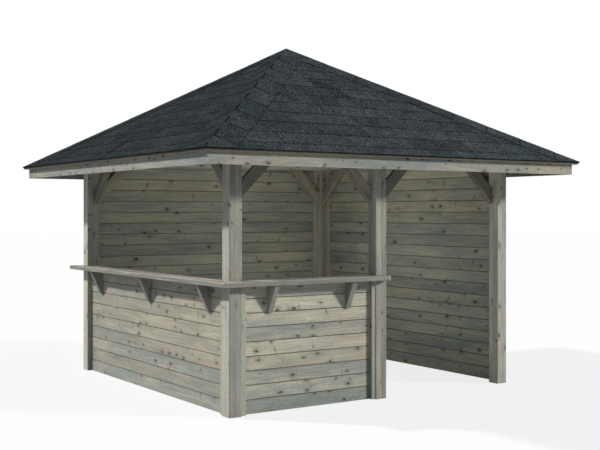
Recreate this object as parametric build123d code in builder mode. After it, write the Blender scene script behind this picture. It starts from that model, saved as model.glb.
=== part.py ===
from build123d import *
import os
from math import cos, radians, sqrt, tan

# A timber market hut on a square plan: five posts, two closed walls, two half walls
# with counters, one open doorway and a hipped shingle roof. Millimetres, +Z up.
# The origin is the centre of the plan on the ground. The doorway and the short counter
# are at the front (-Y), the long counter is on the left (-X).

os.makedirs("parts", exist_ok=True)

# Frame
side = 3084.0               # outside of post to outside of post, both ways
post = 120.0                # square section of every post
post_height = 2155.0
post_arris = 5.0            # planed corners of a post
door_post_start = 1484.0    # outside of the front left post to the door post
beam_width = 90.0
beam_height = 97.0
beam_setback = 24.0         # outside of post to outside of beam
brace_width = 100.0
brace_thickness = 45.0
brace_drop = 425.0          # beam to a brace's lowest point

# Walls
board_thickness = 20.0
ground_gap = 4.0            # air under the wall boards
wall_lap = 85.0             # closed walls lap over the beam by this much
wall_batten_width = 50.0
wall_batten_thickness = 20.0
half_wall_setback = 42.0    # outside of post to outside of a half wall
cover_batten_width = 40.0
cover_batten_setback = 8.0  # outside of post to outside of a cover batten

# Counters
counter_top = 1092.0
counter_thickness = 40.0
counter_reach = 108.0       # outer edge beyond the posts
counter_inner = 70.0        # inner edge, measured inwards from the outside of the posts
counter_arris = 4.0
end_clip = 50.0             # corner cut off the short counter at the doorway
bracket_thickness = 45.0
bracket_height = 235.0
bracket_reach = 80.0        # nose of a bracket beyond the posts
bracket_tip = 18.0          # blunt nose and foot
bracket_inset = 285.0       # from a post's side to the middle of the nearest bracket

# Roof
pitch = 30.0
eave = 435.0                # outside of post to outside of fascia
fascia_height = 120.0
fascia_thickness = 20.0
rafter_depth = 145.0
rafter_tail_depth = 95.0    # a rafter is thinner outside the beam
rafter_width = 45.0
rafter_spacing = 600.0
jacks_each_way = 2          # jack rafters on each side of the middle one
seat_length = 45.0          # level seat of a rafter on the beam
hip_width = 60.0
king_block_across = 160.0   # across the flats of the eight-sided block under the peak
king_block_drop = 40.0      # how far it hangs below the rafters
king_block_arris = 14.0
roof_board_thickness = 18.0
roof_board_rim = 41.0       # roof boards beyond the fascia
shingle_thickness = 8.0
shingle_drip = 10.0         # shingles beyond the roof boards
hip_cap_thickness = 4.0
hip_cap_width = 130.0       # each way from the hip line, seen from above

# Worked out
half = side / 2
inner = half - post
door_post_left = door_post_start - half
door_post_right = door_post_left + post
slope = tan(radians(pitch))
plumb = 1 / cos(radians(pitch))     # plumb height for each millimetre of thickness
fascia_face = half + eave
fascia_back = fascia_face - fascia_thickness
roof_board_edge = fascia_face + roof_board_rim
shingle_edge = roof_board_edge + shingle_drip
shingle_base = roof_board_thickness
shingle_top = shingle_base + shingle_thickness
beam_face = half - beam_setback
beam_back = beam_face - beam_width
beam_top = post_height + beam_height
seat_end = beam_face - seat_length  # inner end of a rafter's seat
eave_level = beam_top + rafter_depth * plumb - (fascia_face - seat_end) * slope
fascia_bottom = eave_level - fascia_height
block_face = king_block_across / 2
SIDES = {"front": 0, "right": 90, "rear": 180, "left": 270}


def roof_level(out):
    """Height of the rafters' top at a distance out from the hut's middle."""
    return eave_level + (fascia_face - out) * slope


def keep(piece, name):
    """Write a finished piece under its name."""
    piece.part.label = name
    export_step(piece.part, f"parts/{name}.step")


def turned(piece, side_name):
    """A copy of a front piece, carried round to another side of the hut."""
    with BuildPart() as copy:
        add(piece.part, rotation=(0, 0, SIDES[side_name]))
    return copy


# Posts
def square_post(middle_x, middle_y):
    with BuildPart() as timber:
        with BuildSketch() as section:
            with Locations((middle_x, middle_y)):
                Rectangle(post, post)
            chamfer(section.vertices(), length=post_arris)
        extrude(amount=post_height)
    return timber


corner = half - post / 2
keep(square_post(-corner, -corner), "front_left_post")
keep(square_post(corner, -corner), "front_right_post")
keep(square_post(-corner, corner), "rear_left_post")
keep(square_post(corner, corner), "rear_right_post")
keep(square_post(door_post_left + post / 2, -corner), "door_post")


# Beams on the posts, half lapped over each other at the corners
def beam(lap_level):
    """The front beam, with half its height cut away at both ends from lap_level up."""
    lap_middle = lap_level + beam_height / 4
    end_middle = beam_face - beam_width / 2
    with BuildPart() as timber:
        with BuildSketch(Plane.XZ.offset(beam_back)):
            with Locations((0, post_height + beam_height / 2)):
                Rectangle(2 * beam_face, beam_height)
            with Locations((-end_middle, lap_middle), (end_middle, lap_middle)):
                Rectangle(beam_width, beam_height / 2, mode=Mode.SUBTRACT)
        extrude(amount=beam_width)
    return timber


upper_beam = beam(post_height)
lower_beam = beam(post_height + beam_height / 2)
keep(upper_beam, "front_beam")
keep(turned(upper_beam, "rear"), "rear_beam")
keep(turned(lower_beam, "left"), "left_beam")
keep(turned(lower_beam, "right"), "right_beam")


# Knee braces at 45 degrees from the posts up to the beams
def braces(feet):
    """Braces along the front. Each foot is a post's side and the way the brace leans."""
    foot = post_height - brace_drop
    cut = brace_width * sqrt(2)
    with BuildPart() as pair:
        for at_x, lean in feet:
            with BuildSketch(Plane.XZ.offset(beam_back)):
                with BuildLine():
                    Polyline((at_x, foot), (at_x + lean * brace_drop, post_height),
                             (at_x + lean * (brace_drop - cut), post_height),
                             (at_x, foot + cut), close=True)
                make_face()
            extrude(amount=brace_thickness)
    return pair


corner_feet = [(-inner, 1), (inner, -1)]
corner_braces = braces(corner_feet)
keep(braces(corner_feet + [(door_post_left, -1), (door_post_right, 1)]), "front_braces")
for name in ("right", "rear", "left"):
    keep(turned(corner_braces, name), f"{name}_braces")


# Walls of boards between the posts, with upright battens on them
def board_wall(start_x, end_x, outer_face, top):
    with BuildPart() as wall:
        with BuildSketch(Plane.XZ.offset(outer_face - board_thickness)):
            with Locations(((start_x + end_x) / 2, (ground_gap + top) / 2)):
                Rectangle(end_x - start_x, top - ground_gap)
        extrude(amount=board_thickness)
    return wall


def battens(middles, width, back_face, front_face, top):
    with BuildPart() as strips:
        with BuildSketch(Plane.XZ.offset(back_face)):
            with Locations(*[(middle, (ground_gap + top) / 2) for middle in middles]):
                Rectangle(width, top - ground_gap)
        extrude(amount=front_face - back_face)
    return strips


closed_wall = board_wall(-inner, inner, beam_face + board_thickness, post_height + wall_lap)
batten_middle = inner - wall_batten_width / 2
closed_battens = battens((-batten_middle, batten_middle), wall_batten_width,
                         beam_face - wall_batten_thickness, beam_face, post_height)
for name in ("right", "rear"):
    keep(turned(closed_wall, name), f"{name}_wall")
    keep(turned(closed_battens, name), f"{name}_wall_battens")

counter_underside = counter_top - counter_thickness
half_wall_face = half - half_wall_setback
cover_face = half - cover_batten_setback
cover_middle = inner - cover_batten_width / 2
front_covers = battens((-cover_middle, door_post_left - cover_batten_width / 2),
                       cover_batten_width, half_wall_face, cover_face, counter_underside)
left_cover = battens((cover_middle,), cover_batten_width, half_wall_face, cover_face,
                     counter_underside)
left_boards = board_wall(-inner, inner, half_wall_face, counter_underside)
keep(board_wall(-inner, door_post_left, half_wall_face, counter_underside), "front_half_wall")
keep(front_covers, "front_cover_battens")
keep(turned(left_boards, "left"), "left_half_wall")
keep(turned(left_cover, "left"), "left_cover_batten")

# Counters, mitred at the front left corner and notched round the posts
counter_edge = half + counter_reach
counter_back = half - counter_inner
clip_start = door_post_right - end_clip

with BuildPart() as front_counter:
    with BuildSketch(Plane.XY.offset(counter_underside)):
        with BuildLine():
            Polyline((-counter_edge, -counter_edge), (clip_start, -counter_edge),
                     (door_post_right, -counter_edge + end_clip), (door_post_right, -half),
                     (door_post_left, -half), (door_post_left, -counter_back),
                     (-inner, -counter_back), (-inner, -half), (-half, -half), close=True)
        make_face()
    extrude(amount=counter_thickness)
    outer_arrises = front_counter.edges().filter_by(Axis.X).group_by(Axis.Y)[0]
    chamfer(outer_arrises, length=counter_arris)

with BuildPart() as left_counter:
    with BuildSketch(Plane.XY.offset(counter_underside)):
        with BuildLine():
            Polyline((-counter_edge, -counter_edge), (-half, -half), (-half, -inner),
                     (-counter_back, -inner), (-counter_back, inner), (-half, inner),
                     (-half, half), (-counter_edge, counter_edge), close=True)
        make_face()
    extrude(amount=counter_thickness)
    outer_arrises = left_counter.edges().filter_by(Axis.Y).group_by(Axis.X)[0]
    chamfer(outer_arrises, length=counter_arris)

keep(front_counter, "front_counter")
keep(left_counter, "left_counter")


# Tapered brackets under the counters
def brackets(middles):
    nose = half + bracket_reach
    foot = half_wall_face + bracket_tip
    foot_level = counter_underside - bracket_height
    with BuildPart() as row:
        for middle in middles:
            with BuildSketch(Plane.YZ.offset(middle - bracket_thickness / 2)):
                with BuildLine():
                    Polyline((-half_wall_face, counter_underside), (-nose, counter_underside),
                             (-nose, counter_underside - bracket_tip), (-foot, foot_level),
                             (-half_wall_face, foot_level), close=True)
                make_face()
            extrude(amount=bracket_thickness)
    return row


end_bracket = inner - bracket_inset
keep(brackets((-end_bracket, door_post_left - bracket_inset)), "front_brackets")
keep(turned(brackets((-end_bracket, 0, end_bracket)), "left"), "left_brackets")


# The roof's form
def under_roof(reach, thickness):
    """Everything below the rafters' top raised by a thickness, down to the ground."""
    eaves = roof_level(reach) + thickness * plumb
    peak = roof_level(0) + thickness * plumb
    gable = [(-reach, 0), (reach, 0), (reach, eaves), (0, peak), (-reach, eaves)]
    with BuildPart() as body:
        with BuildSketch(Plane.XZ):
            Polygon(*gable, align=None)
        extrude(amount=reach, both=True)
        with BuildSketch(Plane.YZ):
            Polygon(*gable, align=None)
        extrude(amount=reach, both=True, mode=Mode.INTERSECT)
    return body


def front_quarter(start):
    """The front quarter of the plan as an upright prism, its tip moved out by start."""
    far = 2 * side
    with BuildPart() as quarter:
        with BuildSketch():
            Polygon((0, -start), (far, -start - far), (-far, -start - far), align=None)
        extrude(amount=far)
    return quarter


def roof_layer(reach, base, top):
    """A layer over the whole roof between two thicknesses."""
    with BuildPart() as layer:
        add(under_roof(reach, top).part)
        add(under_roof(reach + roof_board_rim, base).part, mode=Mode.SUBTRACT)
    return layer


def front_slope(layer):
    """The front slope of a layer, mitred at the hips."""
    with BuildPart() as piece:
        add(layer.part)
        add(front_quarter(0).part, mode=Mode.INTERSECT)
    return piece


# Rafters, hips and the block they all meet at
def rafter_outline(run):
    """Side view of a rafter whose length in plan is run times its distance out."""
    drop = rafter_depth * plumb
    tail_drop = rafter_tail_depth * plumb
    block_out = block_face / run
    return [(block_face, roof_level(block_out)), (run * fascia_back, roof_level(fascia_back)),
            (run * fascia_back, roof_level(fascia_back) - tail_drop),
            (run * beam_face, roof_level(beam_face) - tail_drop), (run * beam_face, beam_top),
            (run * seat_end, beam_top), (block_face, roof_level(block_out) - drop)]


with BuildPart() as front_rafters:
    for place in range(-jacks_each_way, jacks_each_way + 1):
        with BuildSketch(Plane.YZ.offset(place * rafter_spacing)):
            Polygon(*[(-out, level) for out, level in rafter_outline(1)], align=None)
        extrude(amount=rafter_width / 2, both=True)
    add(front_quarter(hip_width / sqrt(2)).part, mode=Mode.INTERSECT)

with BuildPart() as front_left_hip:
    with BuildSketch(Plane(origin=(0, 0, 0), x_dir=(-1, -1, 0), z_dir=(-1, 1, 0))):
        Polygon(*rafter_outline(sqrt(2)), align=None)
    extrude(amount=hip_width / 2, both=True)
    add(under_roof(fascia_back, 0).part, mode=Mode.INTERSECT)

with BuildPart() as hip_rafters:
    for turn in SIDES.values():
        add(front_left_hip.part, rotation=(0, 0, turn))

block_foot = roof_level(block_face) - rafter_depth * plumb - king_block_drop
with BuildPart() as king_block:
    with BuildSketch(Plane.XY.offset(block_foot)):
        RegularPolygon(block_face, 8, major_radius=False, rotation=22.5)
    extrude(amount=roof_level(0) - block_foot)
    add(under_roof(fascia_back, 0).part, mode=Mode.INTERSECT)
    chamfer(king_block.faces().sort_by(Axis.Z)[0].edges(), length=king_block_arris)

for name in SIDES:
    keep(turned(front_rafters, name), f"{name}_rafters")
keep(hip_rafters, "hip_rafters")
keep(king_block, "king_block")

# Fascia boards, bevelled to the roof and mitred at the corners
with BuildPart() as front_fascia:
    with BuildSketch(Plane.XY.offset(fascia_bottom)):
        with Locations((0, -(fascia_face + fascia_back) / 2)):
            Rectangle(2 * fascia_face, fascia_thickness)
    extrude(amount=fascia_height + fascia_thickness * slope)
    add(under_roof(fascia_face, 0).part, mode=Mode.INTERSECT)
    add(front_quarter(0).part, mode=Mode.INTERSECT)

# Roof boards, shingles and hip caps
front_roof_boards = front_slope(roof_layer(roof_board_edge, 0, shingle_base))
front_shingles = front_slope(roof_layer(shingle_edge, shingle_base, shingle_top))
for name in SIDES:
    keep(turned(front_fascia, name), f"{name}_fascia")
    keep(turned(front_roof_boards, name), f"{name}_roof_boards")
    keep(turned(front_shingles, name), f"{name}_shingles")

with BuildPart() as hip_caps:
    with BuildSketch():
        for turn in (45, -45):
            Rectangle(2 * sqrt(2) * shingle_edge, 2 * hip_cap_width, rotation=turn)
    extrude(amount=2 * side)
    add(roof_layer(shingle_edge, shingle_top, shingle_top + hip_cap_thickness).part,
        mode=Mode.INTERSECT)
keep(hip_caps, "hip_caps")
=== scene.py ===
# %% [markdown]
# A wooden market hut: square posts, walls of tongue and groove boards, two counters and a
# hipped roof of bitumen shingles. The CAD model gives every size and place. This file
# dresses it: timbers get their planed edges and grain, slabs become separate boards, and
# the plain roof layer becomes courses of shingles.

# %% The frame
import bmesh
import bpy
import random
from math import cos, radians, sqrt, tan
from mathutils import Matrix, Vector


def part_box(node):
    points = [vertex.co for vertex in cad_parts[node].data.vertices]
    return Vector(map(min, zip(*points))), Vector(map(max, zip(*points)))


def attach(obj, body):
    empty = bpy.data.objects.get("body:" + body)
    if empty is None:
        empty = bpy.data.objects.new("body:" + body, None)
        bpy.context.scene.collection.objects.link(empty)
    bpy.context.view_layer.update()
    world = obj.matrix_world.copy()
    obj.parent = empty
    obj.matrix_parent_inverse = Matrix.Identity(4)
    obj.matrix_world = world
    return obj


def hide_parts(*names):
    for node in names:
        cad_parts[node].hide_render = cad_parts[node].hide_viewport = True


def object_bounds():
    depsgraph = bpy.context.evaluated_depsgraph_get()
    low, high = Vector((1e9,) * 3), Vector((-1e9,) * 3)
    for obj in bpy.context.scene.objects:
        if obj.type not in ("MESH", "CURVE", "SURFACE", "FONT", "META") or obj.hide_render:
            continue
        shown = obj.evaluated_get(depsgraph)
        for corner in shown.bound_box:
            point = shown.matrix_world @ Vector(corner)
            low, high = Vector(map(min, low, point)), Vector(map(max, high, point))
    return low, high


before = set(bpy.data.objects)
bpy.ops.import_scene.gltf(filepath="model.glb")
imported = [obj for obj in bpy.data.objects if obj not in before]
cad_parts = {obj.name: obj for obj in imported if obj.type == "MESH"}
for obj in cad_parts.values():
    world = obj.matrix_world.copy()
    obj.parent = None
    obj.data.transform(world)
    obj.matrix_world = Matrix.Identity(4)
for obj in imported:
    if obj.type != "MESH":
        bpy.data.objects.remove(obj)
cad_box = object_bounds()
print("CAD box", cad_box)

# %% [markdown]
# The camera stands at eye height, a little to the left of the doorway side, and looks
# level, so that upright posts stay upright in the picture. A level camera puts the horizon
# at mid picture. A small vertical shift moves the frame instead of tilting the camera.

# %% Camera
PICTURE_WIDTH = 600             # pixels, as are the next two
FOCAL_LENGTH = 1015.3
HORIZON_ABOVE_MIDDLE = 12.5
SENSOR_WIDTH = 36               # mm
EYE = (-5.581, -8.605, 1.647)
HEADING = -33.75                # degrees, turned from +Y

camera_data = bpy.data.cameras.new("camera")
camera_data.sensor_width = SENSOR_WIDTH
camera_data.lens = SENSOR_WIDTH * FOCAL_LENGTH / PICTURE_WIDTH
camera_data.shift_y = -HORIZON_ABOVE_MIDDLE / PICTURE_WIDTH
camera = bpy.data.objects.new("camera", camera_data)
camera.location = EYE
camera.rotation_euler = (radians(90), 0, radians(HEADING))
bpy.context.scene.collection.objects.link(camera)
bpy.context.scene.camera = camera
bpy.context.scene.view_settings.view_transform = "Standard"
print("lens", round(camera_data.lens, 2), "mm")

# %% [markdown]
# Colours are written as sRGB hex values, as a paint chart gives them, and one function
# turns them into the linear values that Blender's shaders want. A second small function
# adds a shader node with its settings and links, so that each material reads as a recipe.


# %% Colour and node helpers
def linear(hex_colour):
    """An sRGB hex colour as linear RGBA."""
    levels = [int(hex_colour[i:i + 2], 16) / 255 for i in (0, 2, 4)]
    return (*[v / 12.92 if v <= 0.04045 else ((v + 0.055) / 1.055) ** 2.4 for v in levels], 1)


def add_node(tree, kind, inputs=None, **settings):
    """Add a node. Each input is a value, or another node's output to link."""
    node = tree.nodes.new(kind)
    for name, value in settings.items():
        setattr(node, name, value)
    for name, value in (inputs or {}).items():
        if isinstance(value, bpy.types.NodeSocket):
            tree.links.new(value, node.inputs[name])
        else:
            node.inputs[name].default_value = value
    return node


print("mid grey", linear("808080"))

# %% [markdown]
# The sky is that of a bright, hazy day: even and a little blue. It lights every face, so
# it is kept weak and the lamps below draw the shadows. The camera sees plain white past
# the object instead, and so would a mirror or a pane, through the Light Path node.

# %% Sky
SKY_COLOUR = "D6E4FF"
SKY_STRENGTH = 0.34

world = bpy.data.worlds.new("hazy sky")
bpy.context.scene.world = world
world.use_nodes = True
sky = world.node_tree
sky.nodes.clear()
path = add_node(sky, "ShaderNodeLightPath")
seen = add_node(sky, "ShaderNodeMath", {0: path.outputs["Is Camera Ray"],
                                        1: path.outputs["Is Glossy Ray"]}, operation="MAXIMUM")
seen = add_node(sky, "ShaderNodeMath", {0: seen.outputs[0],
                                        1: path.outputs["Is Transmission Ray"]},
                operation="MAXIMUM")
haze = add_node(sky, "ShaderNodeBackground", {"Color": linear(SKY_COLOUR),
                                              "Strength": SKY_STRENGTH})
white = add_node(sky, "ShaderNodeBackground", {"Color": linear("FFFFFF"), "Strength": 1})
either = add_node(sky, "ShaderNodeMixShader", {0: seen.outputs[0], 1: haze.outputs[0],
                                               2: white.outputs[0]})
add_node(sky, "ShaderNodeOutputWorld", {"Surface": either.outputs[0]})
print("sky", SKY_COLOUR, SKY_STRENGTH)

# %% [markdown]
# A main light comes from the left rear and reaches the long counter's side, and a weaker
# and softer one comes from the right front. Both are sun lamps, since sunlight has the same
# strength all over the hut. A large round lamp inside, which no camera sees, stands for the
# daylight that pale ground throws around in there.

# %% Lights
SUNLIGHT = "FFFDF8"
MAIN_TRAVELS = (1, -1.1, -1.12)
FILL_TRAVELS = (-1.1, 1, -0.6)
MAIN_STRENGTH = 4.3
FILL_STRENGTH = 3.08
MAIN_SOFTNESS = 3               # degrees across the light
FILL_SOFTNESS = 7
LAMP_COLOUR = "FFFDF9"
LAMP_WATTS = 21
LAMP_RADIUS = 0.5
LAMP_PLACE = (0.25, 0.0, 1.25)


def soft_sun(name, travels, strength, softness):
    """A sun lamp that shines in a direction, with shadows as soft as its width in degrees."""
    light = bpy.data.lights.new(name, "SUN")
    light.energy = strength
    light.angle = radians(softness)
    light.color = linear(SUNLIGHT)[:3]
    lamp = bpy.data.objects.new(name, light)
    lamp.rotation_euler = Vector(travels).to_track_quat("-Z", "Y").to_euler()
    bpy.context.scene.collection.objects.link(lamp)
    return lamp


main_light = soft_sun("main light", MAIN_TRAVELS, MAIN_STRENGTH, MAIN_SOFTNESS)
fill_light = soft_sun("fill light", FILL_TRAVELS, FILL_STRENGTH, FILL_SOFTNESS)
inside = bpy.data.lights.new("lamp inside", "POINT")
inside.energy = LAMP_WATTS
inside.color = linear(LAMP_COLOUR)[:3]
inside.shadow_soft_size = LAMP_RADIUS
inside_lamp = bpy.data.objects.new("lamp inside", inside)
inside_lamp.location = LAMP_PLACE
inside_lamp.visible_camera = False
bpy.context.scene.collection.objects.link(inside_lamp)
print("lights", main_light.name, fill_light.name, inside_lamp.name)

# %% [markdown]
# The floor is one large pale sheet. For the camera most of its brightness is its own, so
# that it stays white, and the rest is real reflection, which keeps the hut's soft shadow.
# All other rays meet a pale grey floor that throws light back up under the roof.

# %% Floor
FLOOR_REACH = 60.0
FLOOR_GLOW = 0.8                # 1 is white
FLOOR_SHEET = "656565"          # what reflects of it, for the camera
FLOOR_BOUNCE = "A8ABAD"         # for all other rays

floor_mesh = bmesh.new()
bmesh.ops.create_grid(floor_mesh, x_segments=1, y_segments=1, size=FLOOR_REACH)
floor_data = bpy.data.meshes.new("studio_floor")
floor_mesh.to_mesh(floor_data)
floor_mesh.free()
studio_floor = bpy.data.objects.new("studio_floor", floor_data)
bpy.context.scene.collection.objects.link(studio_floor)

floor_paper = bpy.data.materials.new("Pale studio floor")
floor_paper.use_nodes = True
tree = floor_paper.node_tree
tree.nodes.clear()
path = add_node(tree, "ShaderNodeLightPath")
glow = add_node(tree, "ShaderNodeEmission", {"Color": linear("FFFFFF"), "Strength": FLOOR_GLOW})
sheet = add_node(tree, "ShaderNodeBsdfDiffuse", {"Color": linear(FLOOR_SHEET)})
shown = add_node(tree, "ShaderNodeAddShader", {0: glow.outputs[0], 1: sheet.outputs[0]})
bounce = add_node(tree, "ShaderNodeBsdfDiffuse", {"Color": linear(FLOOR_BOUNCE)})
either = add_node(tree, "ShaderNodeMixShader", {0: path.outputs["Is Camera Ray"],
                                                1: bounce.outputs[0], 2: shown.outputs[0]})
add_node(tree, "ShaderNodeOutputMaterial", {"Surface": either.outputs[0]})
floor_data.materials.append(floor_paper)
print("floor", 2 * FLOOR_REACH, "m")

# %% [markdown]
# Planed Scots pine left to the weather turns from beige to silver grey in patches. Its
# knots stay dark, with a grey shadow of resin and early rot round each, and the softer
# spring wood between the rings wears into fine furrows. The pattern has to run along each
# timber, so the material reads an attribute named grain, which holds metres along and
# across each timber, and not the object's own X, Y and Z.
#
# Knots come first. They are cells of a flat Voronoi pattern: 140 mm apart along the board
# and 83 mm across, each a brown spot 10 to 40 mm wide with a dark heart and a wide halo.
# Only some of the cells get one. A second pattern, narrow along the board, tall across it
# and slanted, gives spike knots, which are branches cut lengthwise.

# %% Knots
KNOT_CELLS = (7, 12, 1)         # per metre, along and across the grain
SPIKE_CELLS = (26, 8, 1)
SPIKE_SHARE = 0.15              # of the share that round knots have
SPIKE_SLANT = 0.35
KNOT_WOBBLE = (0.3, 0.3, 0)     # in cells, as the next two
WOBBLE_SCALE = 3.0
KNOT_REACH = (0.06, 0.2)
SCATTER = 0.8                   # 0 would set the knots out in rows
KNOT_ZONES = {"core": (0.6, 1.2, 1.0), "heart": (0.25, 0.7, 1.0), "halo": (0.8, 3.6, 0.6)}


def slanted(tree, grain):
    """The grain sheared along the board, because a branch leaves its trunk at a slant."""
    across = add_node(tree, "ShaderNodeSeparateXYZ", {0: grain}).outputs["Y"]
    shift = add_node(tree, "ShaderNodeMath", {0: across, 1: SPIKE_SLANT}, operation="MULTIPLY")
    shift = add_node(tree, "ShaderNodeCombineXYZ", {"X": shift.outputs[0]})
    return add_node(tree, "ShaderNodeVectorMath", {0: grain, 1: shift.outputs[0]},
                    operation="ADD").outputs[0]


def knots_of_one_kind(tree, grain, cells, share):
    """Core, heart and halo of one kind of knot: how near its middle is, by its own size."""
    place = add_node(tree, "ShaderNodeVectorMath", {0: grain, 1: cells}, operation="MULTIPLY")
    wobble = add_node(tree, "ShaderNodeTexNoise", {"Vector": place.outputs[0],
                                                   "Scale": WOBBLE_SCALE})
    wobble = add_node(tree, "ShaderNodeVectorMath", {0: wobble.outputs["Color"], 1: KNOT_WOBBLE,
                                                     2: place.outputs[0]},
                      operation="MULTIPLY_ADD")
    cell = add_node(tree, "ShaderNodeTexVoronoi", {"Vector": wobble.outputs[0], "Scale": 1.0,
                                                   "Randomness": SCATTER},
                    voronoi_dimensions="2D")
    dice = add_node(tree, "ShaderNodeSeparateColor", {0: cell.outputs["Color"]})
    chosen = add_node(tree, "ShaderNodeMath", {0: dice.outputs[0], 1: share},
                      operation="LESS_THAN")
    size = add_node(tree, "ShaderNodeMapRange", {"Value": dice.outputs[1],
                                                 "To Min": KNOT_REACH[0],
                                                 "To Max": KNOT_REACH[1]})
    reach = add_node(tree, "ShaderNodeMath", {0: cell.outputs["Distance"], 1: size.outputs[0]},
                     operation="DIVIDE")
    zones = {}
    for zone, (full, gone, strength) in KNOT_ZONES.items():
        fade = add_node(tree, "ShaderNodeMapRange", {"Value": reach.outputs[0], "From Min": full,
                                                     "From Max": gone, "To Min": strength,
                                                     "To Max": 0.0},
                        interpolation_type="SMOOTHSTEP")
        zones[zone] = add_node(tree, "ShaderNodeMath", {0: fade.outputs[0],
                                                        1: chosen.outputs[0]},
                               operation="MULTIPLY").outputs[0]
    return zones


def all_knots(tree, grain, knotty):
    """Core, heart and halo of round knots and spike knots together."""
    round_ones = knots_of_one_kind(tree, grain, KNOT_CELLS, knotty)
    spikes = knots_of_one_kind(tree, slanted(tree, grain), SPIKE_CELLS, knotty * SPIKE_SHARE)
    return [add_node(tree, "ShaderNodeMath", {0: round_ones[zone], 1: spikes[zone]},
                     operation="MAXIMUM").outputs[0] for zone in ("core", "heart", "halo")]


print("knot cells", KNOT_CELLS, SPIKE_CELLS)

# %% [markdown]
# Next comes the wood between the knots. Soft noise stretched along the board mixes the
# fresher colour with the grey one, and each timber adds a share of its own, because boards
# from one tree grey alike. A second noise leaves stains where resin or rust has run.

# %% Greying and stains
PATCHES = (1.2, 6, 6)           # per metre, along and across the grain
STAINS = (2, 8, 8)
OWN_SHARE = 0.4                 # how far a timber's own greying moves the mix
LESS_GREY = -0.2                # and how far all timbers are moved back
STAIN_STRENGTH = 0.55


def greyed_colour(tree, grain, grown_grey, fresh, grey, stain):
    patch = add_node(tree, "ShaderNodeVectorMath", {0: grain, 1: PATCHES}, operation="MULTIPLY")
    patch = add_node(tree, "ShaderNodeTexNoise", {"Vector": patch.outputs[0], "Scale": 1.0,
                                                  "Detail": 3.0, "Roughness": 0.6})
    share = add_node(tree, "ShaderNodeMath", {0: grown_grey, 1: OWN_SHARE, 2: LESS_GREY},
                     operation="MULTIPLY_ADD")
    patch = add_node(tree, "ShaderNodeMapRange", {"Value": patch.outputs["Fac"],
                                                  "From Min": 0.3, "From Max": 0.7})
    patch = add_node(tree, "ShaderNodeMath", {0: patch.outputs[0], 1: share.outputs[0]},
                     operation="ADD", use_clamp=True)
    colour = add_node(tree, "ShaderNodeMixRGB", {0: patch.outputs[0], 1: linear(fresh),
                                                 2: linear(grey)})
    blush = add_node(tree, "ShaderNodeVectorMath", {0: grain, 1: STAINS}, operation="MULTIPLY")
    blush = add_node(tree, "ShaderNodeTexNoise", {"Vector": blush.outputs[0], "Scale": 1.0})
    blush = add_node(tree, "ShaderNodeMapRange", {"Value": blush.outputs["Fac"],
                                                  "From Min": 0.52, "From Max": 0.68,
                                                  "To Max": STAIN_STRENGTH})
    return add_node(tree, "ShaderNodeMixRGB", {0: blush.outputs[0], 1: colour.outputs[0],
                                               2: linear(stain)}).outputs[0]


print("patches", PATCHES, "stains", STAINS)

# %% [markdown]
# The worn surface is a height that both the colour and the bump read. Furrows are 11 mm
# apart and drawn a little coarser than the real 3 mm rings, which are too fine to show from
# afar. Broad rings run between them and bend round the knots. A fine mottle of 9 to 22 mm
# stands for raised grain and mildew, and each timber is a little darker or paler in all.

# %% Furrows, rings and mottle
FURROWS = (3, 90, 90)           # per metre, along and across the grain
RINGS = (0.8, 15, 15)
MOTTLE = (45, 110, 110)
RING_COUNT = 14.0               # from one ring noise valley to its hill
KNOT_BEND = (0, 0.06, 0)        # metres that a knot pushes the rings aside


def worn_height(tree, grain, halo):
    """Height of the worn surface, from about 0.3 in a furrow to 1 on a ring."""
    bent = add_node(tree, "ShaderNodeCombineXYZ", {"Y": halo})
    bent = add_node(tree, "ShaderNodeVectorMath", {0: bent.outputs[0], 1: KNOT_BEND, 2: grain},
                    operation="MULTIPLY_ADD")
    furrow = add_node(tree, "ShaderNodeVectorMath", {0: bent.outputs[0], 1: FURROWS},
                      operation="MULTIPLY")
    furrow = add_node(tree, "ShaderNodeTexNoise", {"Vector": furrow.outputs[0], "Scale": 1.0,
                                                   "Detail": 3.0, "Roughness": 0.65})
    ring = add_node(tree, "ShaderNodeVectorMath", {0: bent.outputs[0], 1: RINGS},
                    operation="MULTIPLY")
    ring = add_node(tree, "ShaderNodeTexNoise", {"Vector": ring.outputs[0], "Scale": 1.0})
    ring = add_node(tree, "ShaderNodeMath", {0: ring.outputs["Fac"], 1: RING_COUNT},
                    operation="MULTIPLY")
    ring = add_node(tree, "ShaderNodeMath", {0: ring.outputs[0], 1: 1.0}, operation="PINGPONG")
    weight = add_node(tree, "ShaderNodeMath", {0: halo, 1: 0.5, 2: 0.25},
                      operation="MULTIPLY_ADD")
    return add_node(tree, "ShaderNodeMath", {0: ring.outputs[0], 1: weight.outputs[0],
                                             2: furrow.outputs["Fac"]},
                    operation="MULTIPLY_ADD").outputs[0]


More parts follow.
